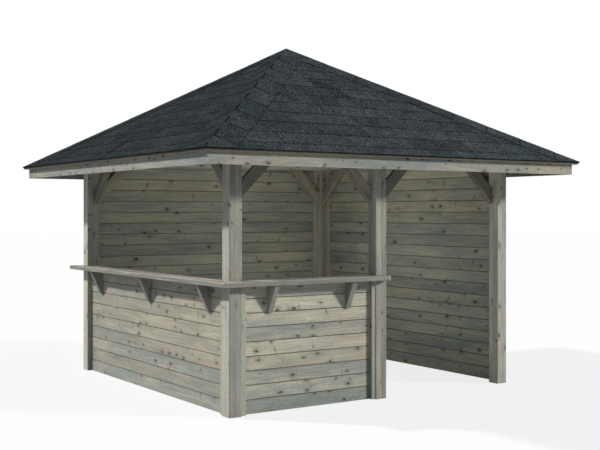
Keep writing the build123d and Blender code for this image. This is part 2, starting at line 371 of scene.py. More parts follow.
def light_and_dark(tree, grain, height, tone):
    """What the colour is multiplied by: worn hollows, the tone with its painted light and shade,
    and mottle.
    """
    shade = add_node(tree, "ShaderNodeMapRange", {"Value": height, "From Min": 0.35,
                                                  "From Max": 0.95, "To Min": 0.78,
                                                  "To Max": 1.16})
    level = add_node(tree, "ShaderNodeMath", {0: tone, 1: 0.2, 2: 0.9}, operation="MULTIPLY_ADD")
    shade = add_node(tree, "ShaderNodeMath", {0: shade.outputs[0], 1: level.outputs[0]},
                     operation="MULTIPLY")
    mottle = add_node(tree, "ShaderNodeVectorMath", {0: grain, 1: MOTTLE}, operation="MULTIPLY")
    mottle = add_node(tree, "ShaderNodeTexNoise", {"Vector": mottle.outputs[0], "Scale": 1.0,
                                                   "Detail": 2.0, "Roughness": 0.7})
    mottle = add_node(tree, "ShaderNodeMapRange", {"Value": mottle.outputs["Fac"],
                                                   "From Min": 0.3, "From Max": 0.7,
                                                   "To Min": 0.84, "To Max": 1.14})
    return add_node(tree, "ShaderNodeMath", {0: shade.outputs[0], 1: mottle.outputs[0]},
                    operation="MULTIPLY").outputs[0]


print("furrows", FURROWS, "rings", RINGS, "mottle", MOTTLE)

# %% [markdown]
# The parts are laid over each other like coats: grey and beige, light and dark, then the
# knots. Last come a painted highlight on a timber's eased edges and painted shade in the
# joints between boards, whose dark colour also draws the glue lines. An attribute named
# wood holds each face's tone, greying and edge. Weathered pine has no gloss left, so it is
# rough everywhere and a little rougher in the furrows.

# %% Weathered pine
RESIN_STAIN = "B09E8E"
KNOT_HALO = "75756B"
KNOT_CORE = "5C4C3F"
KNOT_HEART = "33302B"
CORE_STRENGTH = 0.75
EDGE_HIGHLIGHT = "C4C2B4"
JOINT_SHADE_AND_GLUE = "2E2B24"
EDGE_HIGHLIGHT_STRENGTH = 0.45
JOINT_SHADE_AND_GLUE_STRENGTH = -0.7            # negative, because joints with painted shade and glue lines have a negative edge value
PINE_ROUGHNESS = (0.9, 0.72)    # in the furrows and on the rings
FURROW_DEPTH = 0.0015
PINE_IOR = 1.5


def weathered_pine(name, fresh, grey, stain=RESIN_STAIN, knotty=0.2):
    """Pine between a fresher and a greyer colour. knotty is the share of cells with a knot."""
    material = bpy.data.materials.new(name)
    material.use_nodes = True
    tree = material.node_tree
    tree.nodes.clear()
    grain = add_node(tree, "ShaderNodeAttribute", attribute_name="grain").outputs["Vector"]
    wood = add_node(tree, "ShaderNodeAttribute", attribute_name="wood").outputs["Vector"]
    tone, grown_grey, edge = add_node(tree, "ShaderNodeSeparateXYZ", {0: wood}).outputs
    core, heart, halo = all_knots(tree, grain, knotty)
    height = worn_height(tree, grain, halo)
    core = add_node(tree, "ShaderNodeMath", {0: core, 1: CORE_STRENGTH},
                    operation="MULTIPLY").outputs[0]
    edge_highlight = add_node(tree, "ShaderNodeMath", {0: edge, 1: EDGE_HIGHLIGHT_STRENGTH},
                      operation="MULTIPLY", use_clamp=True).outputs[0]
    joint_shade_and_glue = add_node(tree, "ShaderNodeMath", {0: edge, 1: JOINT_SHADE_AND_GLUE_STRENGTH},
                     operation="MULTIPLY", use_clamp=True).outputs[0]
    colour = add_node(tree, "ShaderNodeMixRGB",
                      {0: 1.0, 1: greyed_colour(tree, grain, grown_grey, fresh, grey, stain),
                       2: light_and_dark(tree, grain, height, tone)}, blend_type="MULTIPLY")
    # last coats: painted highlight on eased edges, painted shade in joints, and glue lines
    for amount, coat in ((halo, KNOT_HALO), (core, KNOT_CORE), (heart, KNOT_HEART),
                         (edge_highlight, EDGE_HIGHLIGHT), (joint_shade_and_glue, JOINT_SHADE_AND_GLUE)):
        colour = add_node(tree, "ShaderNodeMixRGB", {0: amount, 1: colour.outputs[0],
                                                     2: linear(coat)})
    gloss = add_node(tree, "ShaderNodeMapRange", {"Value": height, "From Min": 0.3,
                                                  "From Max": 1.0, "To Min": PINE_ROUGHNESS[0],
                                                  "To Max": PINE_ROUGHNESS[1]})
    bump = add_node(tree, "ShaderNodeBump", {"Height": height, "Strength": 0.35,
                                             "Distance": FURROW_DEPTH})
    surface = add_node(tree, "ShaderNodeBsdfPrincipled",
                       {"Base Color": colour.outputs[0], "Roughness": gloss.outputs[0],
                        "Normal": bump.outputs[0], "IOR": PINE_IOR})
    add_node(tree, "ShaderNodeOutputMaterial", {"Surface": surface.outputs[0]})
    print(name, len(tree.nodes), "nodes")
    return material


# %% [markdown]
# One recipe serves every timber, and only its colours and knots differ. The outside has
# greyed, while rafters and roof boards under the roof have stayed browner. The braces near
# the counters are a darker copy with painted shade, and the others a paler copy with
# painted light. Half walls show many knots and the closed walls fewer.

# %% Pine for each kind of timber
post_pine = weathered_pine("Planed pine posts, silver grey", "AEAA97", "8B908A", knotty=0.15)
# The beams are pale, and paler still with painted light.
beam_pine = weathered_pine("Planed pine beams, pale with painted light", "D6CFBA", "C2BFAE")
# braces: a paler copy with painted light for the rear and right, a darker copy with painted shade
# for the front and left
painted_light_braces = weathered_pine("Planed pine braces, painted light", "A39C86", "8C8A7C")
painted_shade_braces = weathered_pine("Planed pine braces, painted shade", "767262", "63655B")
wall_pine = weathered_pine("Tongue and groove pine, weathered", "B4B29A", "888F8A", "A8A390",
                           knotty=0.18)
half_wall_pine = weathered_pine("Tongue and groove pine, knottier boards", "B5AF98", "898E87",
                                knotty=0.34)
batten_pine = weathered_pine("Planed pine battens, grey", "A8A693", "8C9188", knotty=0.15)
counter_pine = weathered_pine("Planed pine counter, pale", "827F73", "6F726E")
# The brackets' dark grey is partly painted shade.
bracket_pine = weathered_pine("Sawn pine brackets, grey with painted shade", "89897B", "717571", knotty=0.15)
rafter_pine = weathered_pine("Planed pine rafters, sheltered", "A58F6C", "857B67")
fascia_pine = weathered_pine("Planed pine fascia, patchy grey", "A39C88", "7A8482", knotty=0.6)
roof_board_pine = weathered_pine("Pine roof boards, hardly weathered", "8A7D55", "756B4E",
                                 knotty=0.25)

# %% [markdown]
# Every timber needs to know which way it grew. Its longest edge gives that way, and its
# broadest face gives the other two. Each face then holds metres along and across the
# timber, moved by a random start, so that no two timbers show the same piece of wood. A
# post or counter is glued up from plies, and each of its plies gets a start of its own.
# A bisecting cut leaves faces in no fixed order, so those of a cut mesh are sorted by
# where they lie. Otherwise the grain would differ from run to run.

# %% Grain
START_SPREAD = 40               # metres
LAYER_STEP = 3.7                # keeps a timber's six sides apart in the pattern
NARROW = 0.009                  # eased edges and glue lines are narrower than this
SQUARE_ON = 0.95                # cosine with a timber's own directions
BOARD_END = 0.5                 # likewise
# edge values: painted highlight, painted shade in board joints, glue line
HIGHLIGHTED_EDGE, PAINTED_JOINT_SHADE, GLUED_DIRT = 1.0, -1.0, -0.5
SKEW = Vector((0.31, 0.53, 0.79))   # no two broad faces lie equally far this way


def solids(mesh):
    """Each separate solid of a mesh, as a list of its faces."""
    for face in mesh.faces:
        face.tag = False
    found = []
    for first in mesh.faces:
        if first.tag:
            continue
        first.tag = True
        group = [first]
        for face in group:
            for edge in face.edges:
                for other in edge.link_faces:
                    if not other.tag:
                        other.tag = True
                        group.append(other)
        found.append(group)
    return found


def place(item):
    """How far along one skew direction a face or an edge lies."""
    return sum((vert.co for vert in item.verts), Vector()).dot(SKEW) / len(item.verts)


def growth(faces, cut):
    """The directions along, across and through a timber."""
    edges = [edge for face in faces for edge in face.edges]
    if cut:
        faces, edges = sorted(faces, key=place), sorted(edges, key=place)
    longest = max(edges, key=lambda edge: round(edge.calc_length(), 3))
    along = (longest.verts[1].co - longest.verts[0].co).normalized()
    if max(along, key=abs) < 0:
        along.negate()
    broadest = max(faces, key=lambda face: round(face.calc_area(), 5))
    depth = broadest.normal.copy()
    return along, depth.cross(along), depth


def edge_mark(face, facing, slanting, board, glued):
    """A face's edge value: painted shade in a joint between boards, a painted highlight on an
    eased edge, or a glue line.
    """
    if board:
        in_joint = abs(facing[2]) < SQUARE_ON and abs(facing[0]) < BOARD_END
        return PAINTED_JOINT_SHADE if in_joint else 0.0
    if min(edge.calc_length() for edge in face.edges) >= NARROW:
        return 0.0
    return HIGHLIGHTED_EDGE if slanting else GLUED_DIRT if glued else 0.0


def lay_grain(mesh, chance, glued=(), board=False, cut=False, grey_at=None, painted_light_and_tone=None):
    """Write each solid's grain, and its wood: tone, greying and edge (1 painted highlight, -1
    painted joint shade).

    glued are the planes where plies meet, board marks tongue and groove boards, cut a
    mesh that has been bisected, grey_at gives extra greying at a height, and
    painted_light_and_tone an extra tone for a face's normal: painted light and painted shade
    by the way a face looks, and for posts also their own paler tone."""
    grain = mesh.loops.layers.float_vector.new("grain")
    wood = mesh.faces.layers.float_vector.new("wood")
    mesh.normal_update()
    groups = solids(mesh)
    if cut:
        groups.sort(key=lambda faces: min(map(place, faces)))
    for faces in groups:
        ways = growth(faces, cut)
        plies = [(Vector([chance.uniform(0, START_SPREAD) for _ in range(3)]),
                  chance.random(), chance.random()) for _ in range(2 ** len(glued))]
        for face in faces:
            middle = face.calc_center_median()
            ply = sum(2 ** i for i, (point, way) in enumerate(glued)
                      if (middle - point).dot(way) > 0)
            start, own_tone_and_painted_light, own_grey = plies[ply]
            if grey_at:
                own_grey += grey_at(middle.z)
            if painted_light_and_tone:
                own_tone_and_painted_light += painted_light_and_tone(face.normal)
            facing = [face.normal.dot(way) for way in ways]
            third = max(range(3), key=lambda i: abs(facing[i]))
            first, second = [way for i, way in enumerate(ways) if i != third]
            layer = LAYER_STEP * (2 * third + (facing[third] > 0))
            slanting = abs(facing[third]) < SQUARE_ON
            face[wood] = (own_tone_and_painted_light, own_grey, edge_mark(face, facing, slanting, board, glued))
            for loop in face.loops:
                at = loop.vert.co
                loop[grain] = start + Vector((at.dot(first), at.dot(second), layer))


print("starts spread over", START_SPREAD, "m")

# %% [markdown]
# Every piece ends the same way: the finished mesh becomes an object at the origin, which
# rides on the hut's one body, gets its material and stands for the CAD nodes that it
# dresses. A closed solid has two faces at every edge, so open edges are counted too.


# %% Pieces
def make_piece(mesh, name, slot, material, *nodes):
    """Turn a finished mesh into a piece that stands for CAD nodes and rides on the hut."""
    open_edges = sum(1 for edge in mesh.edges if len(edge.link_faces) != 2)
    data = bpy.data.meshes.new(name)
    mesh.to_mesh(data)
    mesh.free()
    data.materials.append(material)
    piece = bpy.data.objects.new(name, data)
    bpy.context.scene.collection.objects.link(piece)
    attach(piece, "root")
    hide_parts(*nodes)
    print(name, len(data.polygons), "faces", open_edges, "open edges")
    return piece


print("CAD nodes to dress:", len(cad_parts))

# %% [markdown]
# Posts, beams, braces, rafters and the rest keep the CAD model's shape: its joints are
# already cut. A planed timber's edges are eased so that they don't splinter, and that thin
# bright line is what makes a beam look real. So each timber is a merged copy of its CAD
# node with its edges bevelled by 2 mm. Where plies meet, two cuts close together leave a
# thin strip of faces for the dark glue line.

# %% A timber
ARRIS = 0.002
GLUE_LINE = 0.0015
SAME_POINT = 0.00005
ON_PLANE = 0.000001


def timber(node, slot, material, seed, glued=(), painted_light_and_tone=None):
    """A merged, eased copy of a CAD node, scored with a glue line where plies meet."""
    mesh = bmesh.new()
    mesh.from_mesh(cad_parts[node].data)
    bmesh.ops.remove_doubles(mesh, verts=mesh.verts, dist=SAME_POINT)
    bmesh.ops.dissolve_limit(mesh, angle_limit=radians(1), verts=mesh.verts, edges=mesh.edges)
    bmesh.ops.bevel(mesh, geom=mesh.edges[:], offset=ARRIS, offset_type="OFFSET", segments=2,
                    profile=0.5, affect="EDGES", clamp_overlap=True, material=-1)
    for point, way in glued:
        for offset in (-GLUE_LINE / 2, GLUE_LINE / 2):
            bmesh.ops.bisect_plane(mesh, geom=mesh.verts[:] + mesh.edges[:] + mesh.faces[:],
                                   dist=ON_PLANE, plane_co=point + way * offset, plane_no=way)
    lay_grain(mesh, random.Random(seed), glued, cut=bool(glued), painted_light_and_tone=painted_light_and_tone)
    return make_piece(mesh, f"{node}_timber", slot, material, node)


print("eased edges", ARRIS, "m")

# %% [markdown]
# The five posts are each glued up from four plies, as their crossed glue lines show. A
# post's tone follows the way that each of its faces looks: painted light makes the left
# faces paler and painted shade the front faces darker. The posts away from the shelter of
# the counters are paler still.

# %% Posts
SIDES = {"front": 0, "right": 90, "rear": 180, "left": 270}     # degrees from the front
CORNERS = ("front_left", "front_right", "rear_left", "rear_right")
LOOKS_STRAIGHT = 0.9            # cosine with a side's direction
# tones of painted light on a post's left faces and painted shade on its front faces
PAINTED_LIGHT_TONE, PAINTED_SHADE_TONE = 0.7, -1.1
PALER_POSTS = {"front_right_post": 1.5, "rear_left_post": 0.6}


def painted_light_by_side(normal):
    """Painted light on the posts' left sides and painted shade on their front sides, as tones."""
    return (PAINTED_LIGHT_TONE if normal.x < -LOOKS_STRAIGHT
            else PAINTED_SHADE_TONE if normal.y < -LOOKS_STRAIGHT else 0.0)


for number, post in enumerate([f"{corner}_post" for corner in CORNERS] + ["door_post"]):
    low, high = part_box(post)
    middle = (low + high) / 2
    paler = PALER_POSTS.get(post, 0.0)
    timber(post, "post", post_pine, 10 + number,
           glued=[(middle, Vector((1, 0, 0))), (middle, Vector((0, 1, 0)))],
           painted_light_and_tone=lambda normal: painted_light_by_side(normal) + paler)

# %% [markdown]
# The rest of the frame repeats on all four sides, so one loop makes it. Then come the
# single pieces. Each counter is glued from an upper and a lower ply.

# %% Frame, fascias, battens, counters and brackets
# painted shade, as a tone, for the long side's fascia and half wall
PAINTED_SIDE_SHADE = -0.7


def fascia_painted_shade(normal):
    """Painted shade: the long side's fascia is a little darker on its outer face."""
    return PAINTED_SIDE_SHADE if normal.x < -LOOKS_STRAIGHT else 0.0


for number, side in enumerate(SIDES):
    timber(f"{side}_beam", "frame_timber", beam_pine, 20 + number)
    # painted shade on the front and left braces, painted light on the rear and right
    timber(f"{side}_braces", "frame_timber",
           painted_shade_braces if side in ("front", "left") else painted_light_braces, 30 + number)
    timber(f"{side}_rafters", "rafter", rafter_pine, 40 + number)
    timber(f"{side}_fascia", "fascia", fascia_pine, 50 + number, painted_light_and_tone=fascia_painted_shade)
timber("hip_rafters", "rafter", rafter_pine, 60)
timber("king_block", "rafter", rafter_pine, 61)
for number, battens in enumerate(("front_cover_battens", "left_cover_batten",
                                  "right_wall_battens", "rear_wall_battens")):
    timber(battens, "batten", batten_pine, 62 + number)
for number, counter in enumerate(("front_counter", "left_counter")):
    low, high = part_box(counter)
    timber(counter, "counter", counter_pine, 66 + number,
           glued=[((low + high) / 2, Vector((0, 0, 1)))])
timber("front_brackets", "bracket", bracket_pine, 68)
timber("left_brackets", "bracket", bracket_pine, 69)

# %% [markdown]
# The walls are tongue and groove boards laid flat on each other, tongue up so that rain
# runs off. Both edges are chamfered, and two chamfers make the V that draws the shadow
# line between boards. One board's end is drawn as a flat outline and extruded to its
# length. The rows lie flat along X first and are then turned to where they belong.

# %% Rows of boards
CHAMFER = 0.003
JOINT = 0.002                   # open joint between boards
TONGUE_RISE = 0.006
TONGUE_WIDTH = 0.006
GROOVE_SPARE = 0.001            # the groove is this much larger than the tongue all round


def board_row(start, end, count, cover, thickness):
    """Boards along X that lie side by side up Y, with their outer face up."""
    mesh = bmesh.new()
    body = cover - JOINT
    low, high = (thickness - TONGUE_WIDTH) / 2, (thickness + TONGUE_WIDTH) / 2
    notch_low, notch_high = low - GROOVE_SPARE, high + GROOVE_SPARE
    notch = JOINT + TONGUE_RISE + GROOVE_SPARE
    tip = body + JOINT + TONGUE_RISE
    outline = [(0, CHAMFER), (0, notch_low), (notch, notch_low), (notch, notch_high),
               (0, notch_high), (0, thickness - CHAMFER), (CHAMFER, thickness),
               (body - CHAMFER, thickness), (body, thickness - CHAMFER), (body, high),
               (tip, high), (tip, low), (body, low), (body, CHAMFER), (body - CHAMFER, 0),
               (CHAMFER, 0)]
    for number in range(count):
        foot = number * cover
        end_face = mesh.faces.new([mesh.verts.new((start, foot + up, level))
                                   for up, level in outline])
        grown = bmesh.ops.extrude_face_region(mesh, geom=[end_face], use_keep_orig=True)
        moved = [item for item in grown["geom"] if isinstance(item, bmesh.types.BMVert)]
        bmesh.ops.translate(mesh, vec=(end - start, 0, 0), verts=moved)
    bmesh.ops.recalc_face_normals(mesh, faces=mesh.faces)
    return mesh


def trim(mesh, point, outward):
    """Cut off what lies beyond a plane and close the cut faces."""
    cut = bmesh.ops.bisect_plane(mesh, geom=mesh.verts[:] + mesh.edges[:] + mesh.faces[:],
                                 dist=ON_PLANE, plane_co=point, plane_no=outward,
                                 clear_outer=True)
    rims = [item for item in cut["geom_cut"] if isinstance(item, bmesh.types.BMEdge)]
    bmesh.ops.holes_fill(mesh, edges=rims, sides=0)


print("boards with", CHAMFER, "m chamfers and", JOINT, "m joints")

# %% [markdown]
# A wall's boards start at the ground, and the top one is sawn to the wall's height. Water
# greys wood, so the boards that splashes reach take on more grey, and the closed walls'
# boards are greyer below 1.5 m. That follows the height alone here, which is enough for
# boards that run level.

# %% Walls
WALL_COVER = 0.1177             # height that one board covers
GREYER_BELOW_HEIGHT = 1.5
SOAKED_HEIGHT, SPLASHED_HEIGHT = 0.13, 0.36
LOWER_GREY, SOAKED_GREY, SPLASHED_GREY, UPPER_GREY = 0.5, 0.9, 0.6, -0.3


def greyer_below(height):
    """The closed walls' boards are greyer below a height, and less grey above it."""
    return LOWER_GREY if height < GREYER_BELOW_HEIGHT else UPPER_GREY


def splash_line(height):
    """Splashes from the ground have greyed the lowest boards."""
    return (SOAKED_GREY if height < SOAKED_HEIGHT
            else SPLASHED_GREY if height < SPLASHED_HEIGHT else UPPER_GREY)


def wall_painted_shade(normal):
    """Painted shade: the long half wall is darker all over, whichever way a face looks."""
    return PAINTED_SIDE_SHADE


def board_wall(node, side, seed, pine, grey_at, painted_light_and_tone=None):
    """The boards of one wall, from the ground up, with the top board sawn to height."""
    low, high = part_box(node)
    along = 0 if side in ("front", "rear") else 1
    out = 1 - along
    middle = (low[along] + high[along]) / 2
    if side in ("rear", "left"):
        middle = -middle
    reach = (high[along] - low[along]) / 2
    height = high.z - low.z
    thickness = high[out] - low[out]
    inner_face = min(abs(low[out]), abs(high[out]))
    mesh = board_row(middle - reach, middle + reach, int(height / WALL_COVER) + 1, WALL_COVER,
                     thickness)
    trim(mesh, (0, height, 0), (0, 1, 0))
    place = (Matrix.Rotation(radians(SIDES[side]), 4, "Z")
             @ Matrix.Translation((0, -inner_face, low.z)) @ Matrix.Rotation(radians(90), 4, "X"))
    bmesh.ops.transform(mesh, matrix=place, verts=mesh.verts)
    lay_grain(mesh, random.Random(seed), board=True, grey_at=grey_at, painted_light_and_tone=painted_light_and_tone)
    return make_piece(mesh, f"{node}_boards", "wall_board", pine, node)


board_wall("front_half_wall", "front", 70, half_wall_pine, splash_line)
board_wall("left_half_wall", "left", 71, half_wall_pine, splash_line, wall_painted_shade)
board_wall("rear_wall", "rear", 72, wall_pine, greyer_below)
board_wall("right_wall", "right", 73, wall_pine, greyer_below)

# %% [markdown]
# The roof is decked with the same kind of board, 18 mm thick, nailed across the rafters
# from the eaves up. Long boards are laid over the whole width and sawn along the hips, so
# the rows here are made long and cut by the two upright planes through the hips.

# %% Roof boards
PITCH = radians(30)
DECK_COVER = 0.1165
DECK_THICKNESS = 0.018

deck_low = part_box("front_roof_boards")[0]
deck_edge = -deck_low.y
eave_height = deck_low.z        # rafters' top at the edge of the roof boards
shingle_edge = -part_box("front_shingles")[0].y
slope_length = shingle_edge / cos(PITCH)


def rafter_top(out):
    """Height of the rafters' top at a distance out from the hut's middle."""
    return eave_height + (deck_edge - out) * tan(PITCH)


def on_slope(side):
    """Places what lies flat, with Y up the slope from the shingles' edge, on one slope."""
    return (Matrix.Rotation(radians(SIDES[side]), 4, "Z")
            @ Matrix.Translation((0, -shingle_edge, rafter_top(shingle_edge)))
            @ Matrix.Rotation(PITCH, 4, "X"))


def trim_to_slope(mesh, side, edge):
    """Saw a slope's layer along its two hips and plumb at its eave."""
    turn = Matrix.Rotation(radians(SIDES[side]), 3, "Z")
    trim(mesh, (0, 0, 0), turn @ Vector((1, 1, 0)))
    trim(mesh, (0, 0, 0), turn @ Vector((-1, 1, 0)))
    trim(mesh, turn @ Vector((0, -edge, 0)), turn @ Vector((0, -1, 0)))


for number, side in enumerate(SIDES):
    deck = board_row(-shingle_edge, shingle_edge, int(slope_length / DECK_COVER) + 1, DECK_COVER,
                     DECK_THICKNESS)
    bmesh.ops.transform(deck, matrix=on_slope(side), verts=deck.verts)
    trim_to_slope(deck, side, deck_edge)
    lay_grain(deck, random.Random(80 + number), board=True, cut=True)
    make_piece(deck, f"{side}_roof_board_rows", "roof_board", roof_board_pine,
               f"{side}_roof_boards")

# %% [markdown]
# A bitumen shingle is a felt mat soaked in bitumen and strewn with crushed slate. From
# afar it is a dull, almost black grey, with paler specks and patches where the batches of
# granules differ. The lower edge of each course is bare bitumen and darker still, and the
# 10 mm of felt just below it is darkened by dirt and painted shade. Real granules are 1 to
# 2 mm wide. Here they are drawn in clumps of 3 to 11 mm, since single ones are too fine to
# show. The felt has no gloss at all: on so dark a surface even a weak one would whiten a
# slope seen edge on.

# %% Slate granules on bitumen felt
CLUMPS = 90.0                   # per metre, as the next two
BLENDS = 6.0
SOILING = 1.4
SLATE_DARK = "14181C"
SLATE_PALE = "5D6568"
SLATE_SPECK = "A2ABAA"
MOSS_GREEN = "2A312D"
BARE_BITUMEN = "0E0F10"
SOIL_STRENGTH = 0.45
SHADE_AND_DIRT_REACH = (0.003, 0.013)     # dirt and painted shade: full and gone, below the next course's edge
CLUMP_HEIGHT = 0.002

granules = bpy.data.materials.new("Bitumen shingle, slate granules")
granules.use_nodes = True
tree = granules.node_tree
tree.nodes.clear()
place = add_node(tree, "ShaderNodeTexCoord").outputs["Object"]
tone = add_node(tree, "ShaderNodeAttribute", attribute_name="tone").outputs["Fac"]
bare = add_node(tree, "ShaderNodeAttribute", attribute_name="bare").outputs["Fac"]
below = add_node(tree, "ShaderNodeAttribute", attribute_name="below").outputs["Fac"]
clump = add_node(tree, "ShaderNodeTexNoise", {"Vector": place, "Scale": CLUMPS, "Detail": 3.0,
                                              "Roughness": 0.8})
clump_shade = add_node(tree, "ShaderNodeMapRange", {"Value": clump.outputs["Fac"],
                                                    "From Min": 0.36, "From Max": 0.64})
colour = add_node(tree, "ShaderNodeMixRGB", {0: clump_shade.outputs[0], 1: linear(SLATE_DARK),
                                             2: linear(SLATE_PALE)})
speck = add_node(tree, "ShaderNodeMapRange", {"Value": clump.outputs["Fac"], "From Min": 0.58,
                                              "From Max": 0.68})
colour = add_node(tree, "ShaderNodeMixRGB", {0: speck.outputs[0], 1: colour.outputs[0],
                                             2: linear(SLATE_SPECK)})
blotch = add_node(tree, "ShaderNodeTexNoise", {"Vector": place, "Scale": BLENDS, "Detail": 2.0})
blend = add_node(tree, "ShaderNodeMapRange", {"Value": blotch.outputs["Fac"], "From Min": 0.35,
                                              "From Max": 0.65, "To Min": 0.82, "To Max": 1.15})
level = add_node(tree, "ShaderNodeMath", {0: blend.outputs[0], 1: tone}, operation="MULTIPLY")
colour = add_node(tree, "ShaderNodeMixRGB", {0: 1.0, 1: colour.outputs[0], 2: level.outputs[0]},
                  blend_type="MULTIPLY")
soil = add_node(tree, "ShaderNodeTexNoise", {"Vector": place, "Scale": SOILING, "Detail": 3.0})
soil = add_node(tree, "ShaderNodeMapRange", {"Value": soil.outputs["Fac"], "From Min": 0.5,
                                             "From Max": 0.72, "To Max": SOIL_STRENGTH})
colour = add_node(tree, "ShaderNodeMixRGB", {0: soil.outputs[0], 1: colour.outputs[0],
                                             2: linear(MOSS_GREEN)})
patchy = add_node(tree, "ShaderNodeMapRange", {"Value": blotch.outputs["Fac"], "From Min": 0.42,
                                               "From Max": 0.62, "To Min": 0.5, "To Max": 1.0})
# dirt and painted shade just below the next course's edge, patchy, and bare edges at full
shade_and_dirt = add_node(tree, "ShaderNodeMapRange", {"Value": below, "From Min": SHADE_AND_DIRT_REACH[0],
                                             "From Max": SHADE_AND_DIRT_REACH[1], "To Min": 1.0,
                                             "To Max": 0.0})
shade_and_dirt = add_node(tree, "ShaderNodeMath", {0: shade_and_dirt.outputs[0], 1: patchy.outputs[0]},
                operation="MULTIPLY")
shade_and_dirt = add_node(tree, "ShaderNodeMath", {0: shade_and_dirt.outputs[0], 1: bare}, operation="MAXIMUM")
colour = add_node(tree, "ShaderNodeMixRGB", {0: shade_and_dirt.outputs[0], 1: colour.outputs[0],
                                             2: linear(BARE_BITUMEN)})
bump = add_node(tree, "ShaderNodeBump", {"Height": clump.outputs["Fac"], "Strength": 0.5,
                                         "Distance": CLUMP_HEIGHT})
surface = add_node(tree, "ShaderNodeBsdfPrincipled",
                   {"Base Color": colour.outputs[0], "Roughness": 0.95, "Normal": bump.outputs[0],
                    "IOR": 1.5, "Specular IOR Level": 0.0})
add_node(tree, "ShaderNodeOutputMaterial", {"Surface": surface.outputs[0]})
print(granules.name, len(tree.nodes), "nodes")

# %% [markdown]
# Felt needs three values that the pattern can't know: the tone of the batch that a tab was
# cut from, whether a face is a bare edge, and how far below the next course it lies. They
# are written to the mesh as attributes. The tone also holds painted shade: the slopes
# towards the main light are a bit darker.

# %% Tone and dirt of the felt
EXPOSURE = 0.207                # from one course's lower edge to the next
NARROW_TAB = 0.2                # such tabs often come from a darker batch
# felt tones per slope, darker towards the main light as painted shade
SLOPE_TONES_WITH_PAINTED_SHADE = {"front": 0.56, "right": 0.54, "rear": 0.46, "left": 0.43}
TAB_TONES = (0.86, 0.93, 1.0, 1.0, 1.07, 1.14)
NARROW_TONES = (0.65, 0.75, 1.0)
TOP_FACE = 0.9                  # cosine with the slope's own upward direction
EDGE_BARE = 0.85
OUT_OF_REACH = 9.0              # there is no course above the last


def felt_layers(mesh):
    """The attributes that the granules read: tone, bare and below."""
    return (mesh.faces.layers.float.new("tone"), mesh.faces.layers.float.new("bare"),
            mesh.loops.layers.float.new("below"))


def write_felt(mesh, side, butts, chance):
    """Give every tab its tone with the slope's painted shade, its bare edges and the distance
    below the next course.
    """
    tone, bare, below = felt_layers(mesh)
    back = on_slope(side).inverted()
    mesh.normal_update()
    up_way = (on_slope(side).to_3x3() @ Vector((0, 0, 1))).normalized()
    for faces in solids(mesh):
        spots = [back @ loop.vert.co for face in faces for loop in face.loops]
        foot = min(spot.y for spot in spots)
        above = [butt for butt in butts if butt > foot + EXPOSURE / 2]
        next_butt = above[0] if above else OUT_OF_REACH
        own = chance.choice(TAB_TONES) * SLOPE_TONES_WITH_PAINTED_SHADE[side]
        if max(spot.x for spot in spots) - min(spot.x for spot in spots) < NARROW_TAB:
            own *= chance.choice(NARROW_TONES)
        for face in faces:
            face[tone] = own
            face[bare] = 0.0 if face.normal.dot(up_way) > TOP_FACE else EDGE_BARE
            for loop in face.loops:
                gap = next_butt - (back @ loop.vert.co).y
                loop[below] = gap if gap > 0 else 0.0


print("slope tones", SLOPE_TONES_WITH_PAINTED_SHADE)

# %% [markdown]
# Shingles are nailed from the eave up, each course over the top of the one below, so that
# every tab lies at a slight tilt with its lower edge raised. That raised edge is the line
# that crosses the roof every 207 mm. Each tab starts as a cube whose eight corners are
# moved to a thin wedge. Widths vary from 160 mm to a whole 1 m strip. A tab's sides lean
# and its lower edge slips a little, since a roofer cuts and lays them by eye.

# %% Shingle courses
FIRST_BUTT = 0.014              # lower edges of the first two courses, up the slope
SECOND_BUTT = 0.142
OVERLAP = 0.05
FELT_BASE = 0.018               # above the rafters
FELT_TOP = 0.026
UNDERLAY = 0.002
TAB_THICKNESS = 0.002
CUT = 0.002                     # open cut between two tabs
TAB_WIDTHS = (0.16, 0.33, 0.33, 0.5, 0.66, 1.0)
LEAN, SLIP, SAG = 0.012, 0.003, 0.0006
HIP_SPARE = 0.1                 # courses run this far past the hip before it is sawn
START_SHIFT = 0.3


def felt_block(mesh, corner_at):
    """A cube whose corners go to corner_at(right, up, top), each 0 or 1."""
    made = bmesh.ops.create_cube(mesh, size=1)["verts"]
    for vert in made:
        vert.co = corner_at(*[int(value > 0) for value in vert.co])


def lay_course(mesh, chance, butt, head, ragged):
    """One course of tabs, from beyond one hip to beyond the other."""
    reach = shingle_edge - butt * cos(PITCH) + HIP_SPARE
    left = -reach - chance.uniform(0, START_SHIFT)
    while left < reach:
        right_edge = left + chance.choice(TAB_WIDTHS)
        lean_left, lean_right = chance.uniform(-LEAN, LEAN), chance.uniform(-LEAN, LEAN)
        slip = chance.uniform(-SLIP, SLIP) if ragged else 0
        lift = chance.uniform(-SAG, 0)

        def tab(right, up, top):
            across = (right_edge - CUT + lean_right * up) if right else left + lean_left * up
            along = head if up else butt + slip
            rise = 0 if up else FELT_TOP - FELT_BASE - UNDERLAY - 2 * TAB_THICKNESS + lift
            thick = TAB_THICKNESS if up else 2 * TAB_THICKNESS
            return Vector((across, along, FELT_BASE + UNDERLAY + rise + top * thick))

        felt_block(mesh, tab)
        left = right_edge


